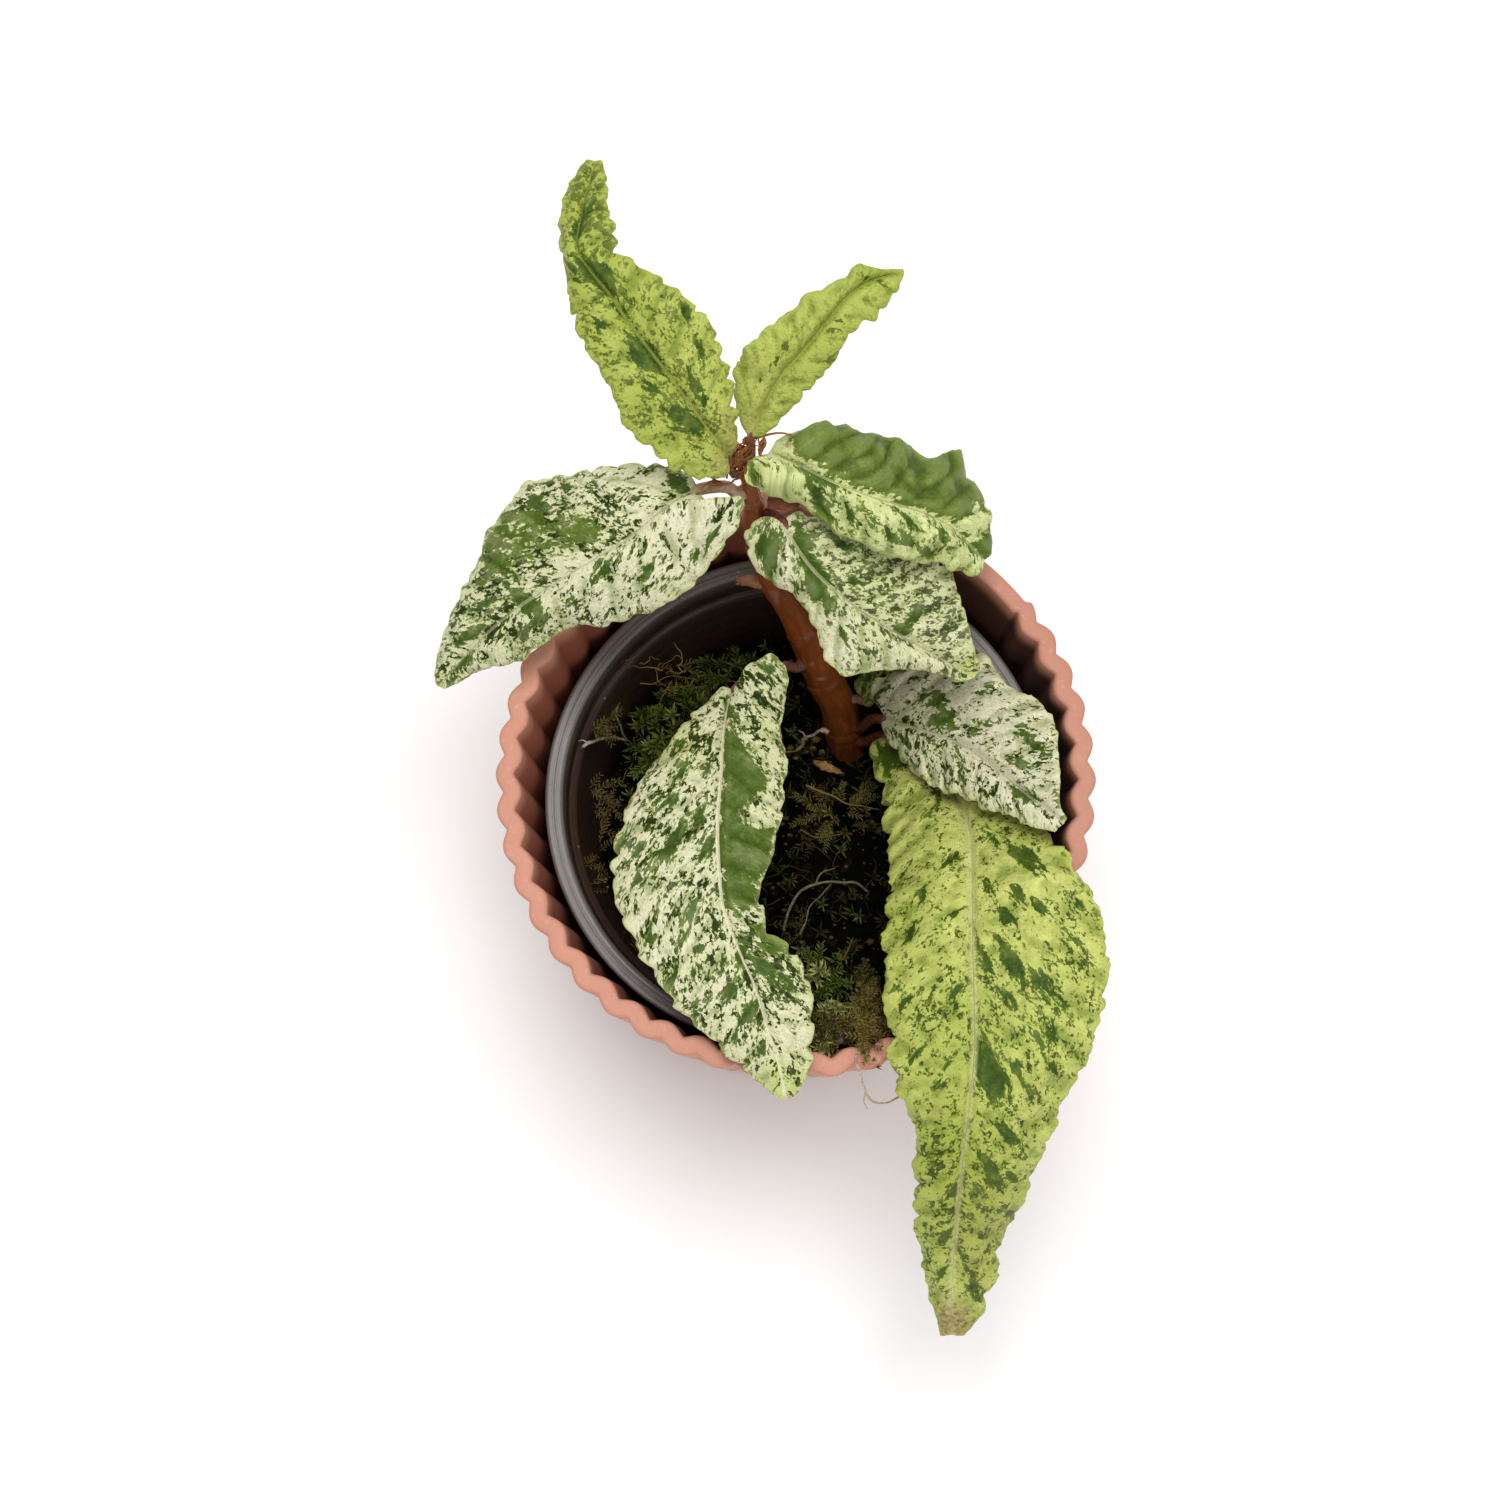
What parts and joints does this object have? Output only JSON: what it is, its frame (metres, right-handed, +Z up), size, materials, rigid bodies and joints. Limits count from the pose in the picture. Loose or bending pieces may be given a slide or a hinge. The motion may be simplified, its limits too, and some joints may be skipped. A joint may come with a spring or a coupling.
{
  "type": "potted pellionia",
  "caption": "Variegated trailing plant in a thin nursery pot inside a fluted cover pot, its leaves spread above the rims and the longest drooping over the front edge.",
  "frame": {"origin": "middle of the underside of the cover pot, on the plane it stands on", "axes": "+Z up; -Y is the front, where the longest leaf hangs over the rims; +X is to the right seen from the front"},
  "size_m": [0.0881, 0.144, 0.1094],
  "materials": {
    "cover_pot_plastic": "matte, fluted",
    "nursery_pot_plastic": "satin, smoke grey, slightly see-through",
    "growing_mix": "rough, crumbly, moist",
    "moss_green": "soft, matte",
    "moss_brown": "dry, matte",
    "stem_skin": "succulent, semi-gloss",
    "leaf_lime": "waxy, semi-gloss, mottled",
    "leaf_cream": "waxy, semi-gloss, marbled",
    "leaf_green": "waxy, semi-gloss",
    "dry_scale": "dry, papery",
    "root_pale": "matte"
  },
  "bodies": {
    "root": {"bud_scale_back": "dry_scale", "bud_scale_front": "dry_scale", "cover_pot": "cover_pot_plastic", "dry_thread": "root_pale", "growing_mix": "growing_mix", "leaf_front_left": "leaf_cream", "leaf_front_right": "leaf_lime", "leaf_left": "leaf_cream", "leaf_litter": "dry_scale", "leaf_right_lower": "leaf_cream", "leaf_right_middle": "leaf_cream", "leaf_right_upper": "leaf_green", "leaf_small_under": "leaf_green", "leaf_top_left": "leaf_lime", "leaf_top_right": "leaf_lime", "moss_clump_back": "moss_green", "moss_clump_brown": "moss_brown", "moss_clump_front": "moss_green", "moss_clump_left": "moss_green", "moss_mat": "moss_green", "moss_over_rim": "moss_brown", "nursery_pot": "nursery_pot_plastic", "petiole_stub": "dry_scale", "rim_hair_root": "root_pale", "root_front": "root_pale", "root_hook": "root_pale", "root_left_lower": "root_pale", "root_left_upper": "root_pale", "stem": "stem_skin", "stipule_right": "dry_scale", "terminal_bud": "dry_scale"}
  },
  "joints": []
}
